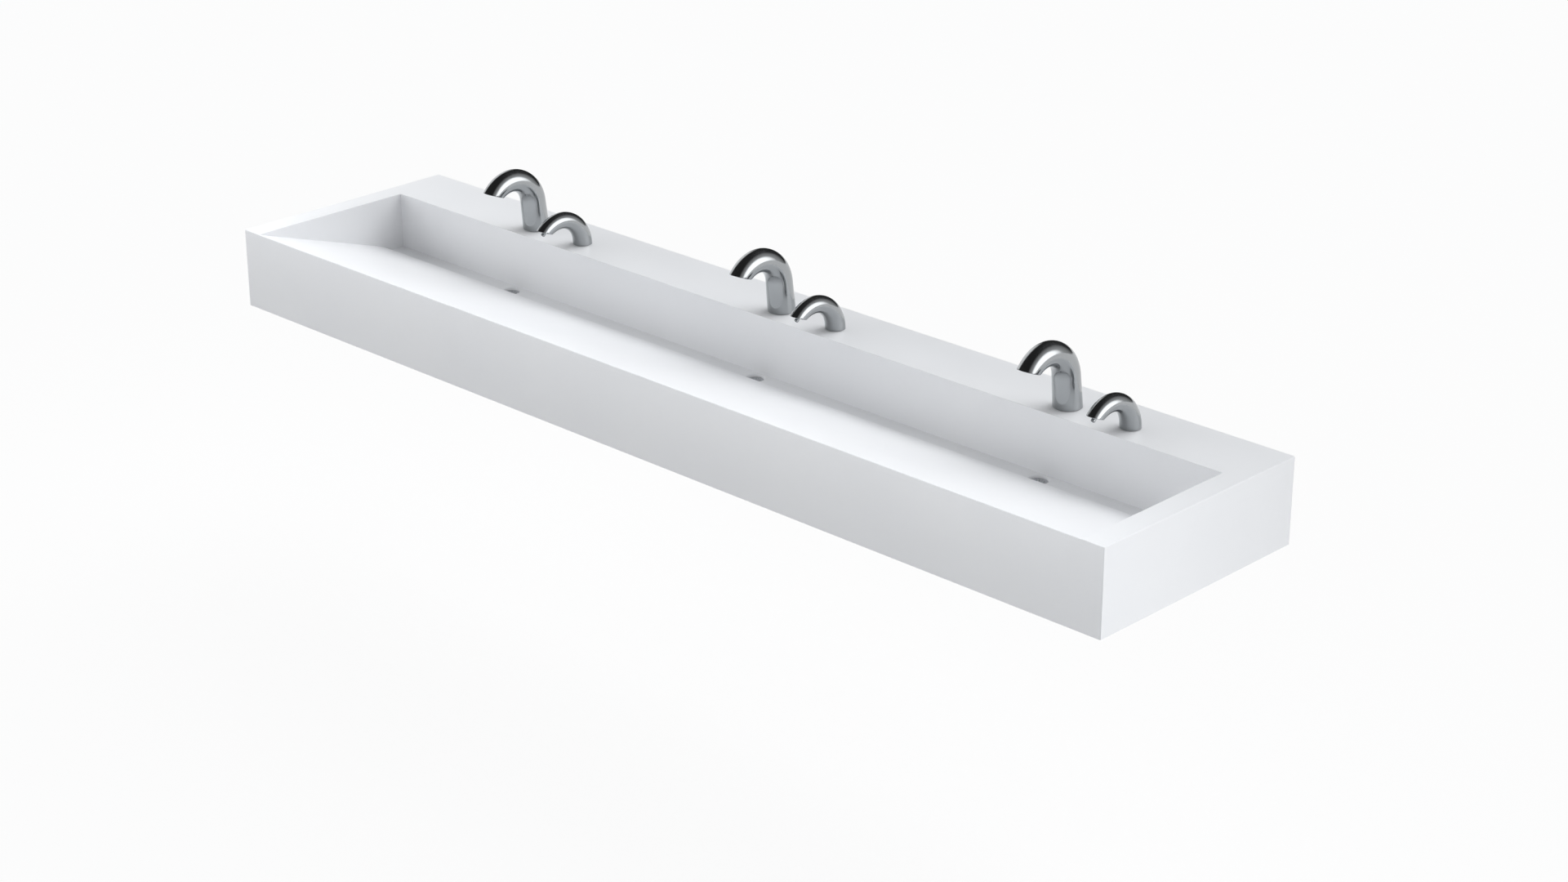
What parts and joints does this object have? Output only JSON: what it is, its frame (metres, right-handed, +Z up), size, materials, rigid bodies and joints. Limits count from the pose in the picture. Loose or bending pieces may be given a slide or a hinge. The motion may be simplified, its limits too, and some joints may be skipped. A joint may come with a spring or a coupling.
{
  "type": "trough sink",
  "caption": "Wall-hung trough sink with a ramp basin, a rear drain gutter and a deck of sensor water spouts, each with a soap spout beside it.",
  "frame": {"origin": "middle of the footprint at the level of the apron's lower edge", "axes": "+X along the trough towards the user's right, +Y towards the wall, +Z up"},
  "size_m": [2.438, 0.56, 0.3287],
  "materials": {
    "solid_surface": "satin",
    "galvanised_steel": "satin",
    "drain_metal": "satin",
    "chrome": "polished",
    "brass": "satin",
    "rubber": "matte",
    "black_plastic": "satin",
    "grey_case": "matte",
    "knob_plastic": "satin",
    "white_tube": "satin",
    "battery_wrap": "gloss",
    "bottle_plastic": "satin"
  },
  "bodies": {
    "trough": {"deck_panel": "solid_surface", "front_apron": "solid_surface", "left_end_panel": "solid_surface", "right_end_panel": "solid_surface", "ramp_panel": "solid_surface", "gutter_floor": "solid_surface", "rear_basin_wall": "solid_surface", "left_basin_wall": "solid_surface", "right_basin_wall": "solid_surface", "rear_rail": "solid_surface", "support_bracket_1": "galvanised_steel", "support_bracket_2": "galvanised_steel", "support_bracket_3": "galvanised_steel", "support_bracket_4": "galvanised_steel", "bracket_screws": "galvanised_steel", "drain_body_1": "drain_metal", "drain_body_2": "drain_metal", "drain_body_3": "drain_metal", "drain_grids": "drain_metal", "drain_gaskets": "rubber", "drain_locknuts": "brass", "spout_1": "chrome", "spout_2": "chrome", "spout_3": "chrome", "spout_outlets": "black_plastic", "spout_shanks": "brass", "spout_gaskets": "rubber", "spout_nuts": "brass", "soap_spout_1": "chrome", "soap_spout_2": "chrome", "soap_spout_3": "chrome", "soap_nozzle_1": "chrome", "soap_nozzle_2": "chrome", "soap_nozzle_3": "chrome", "soap_shanks": "brass", "soap_gaskets": "rubber", "soap_nuts": "brass", "water_valve_1": "brass", "water_valve_2": "brass", "water_valve_3": "brass", "solenoid_coils": "black_plastic", "supply_tubes": "white_tube", "sensor_leads": "rubber", "control_box_1": "grey_case", "control_box_2": "grey_case", "control_box_3": "grey_case", "control_lids": "black_plastic", "battery_packs": "battery_wrap", "box_screws": "galvanised_steel", "soap_pump_1": "grey_case", "soap_pump_2": "grey_case", "soap_pump_3": "grey_case", "dip_tubes": "white_tube"},
    "stop_knob_1": {"stop_knob_1": "knob_plastic"},
    "stop_knob_2": {"stop_knob_2": "knob_plastic"},
    "stop_knob_3": {"stop_knob_3": "knob_plastic"},
    "soap_bottle_1": {"soap_bottle_1": "bottle_plastic"},
    "soap_bottle_2": {"soap_bottle_2": "bottle_plastic"},
    "soap_bottle_3": {"soap_bottle_3": "bottle_plastic"}
  },
  "joints": [
    {"name": "stop_turn_1", "type": "hinge", "parent": "trough", "child": "stop_knob_1", "pos_m": [-0.87, 0.18, 0.0343], "axis": [0, 0, 1], "range_deg": [0, 90]},
    {"name": "stop_turn_2", "type": "hinge", "parent": "trough", "child": "stop_knob_2", "pos_m": [-0.108, 0.18, 0.0343], "axis": [0, 0, 1], "range_deg": [0, 90]},
    {"name": "stop_turn_3", "type": "hinge", "parent": "trough", "child": "stop_knob_3", "pos_m": [0.654, 0.18, 0.0343], "axis": [0, 0, 1], "range_deg": [0, 90]},
    {"name": "bottle_turn_1", "type": "hinge", "parent": "trough", "child": "soap_bottle_1", "pos_m": [-0.6096, 0.205, 0.1033], "axis": [0, 0, 1], "range_deg": [0, 60]},
    {"name": "bottle_turn_2", "type": "hinge", "parent": "trough", "child": "soap_bottle_2", "pos_m": [0.1524, 0.205, 0.1033], "axis": [0, 0, 1], "range_deg": [0, 60]},
    {"name": "bottle_turn_3", "type": "hinge", "parent": "trough", "child": "soap_bottle_3", "pos_m": [0.9144, 0.205, 0.1033], "axis": [0, 0, 1], "range_deg": [0, 60]}
  ]
}
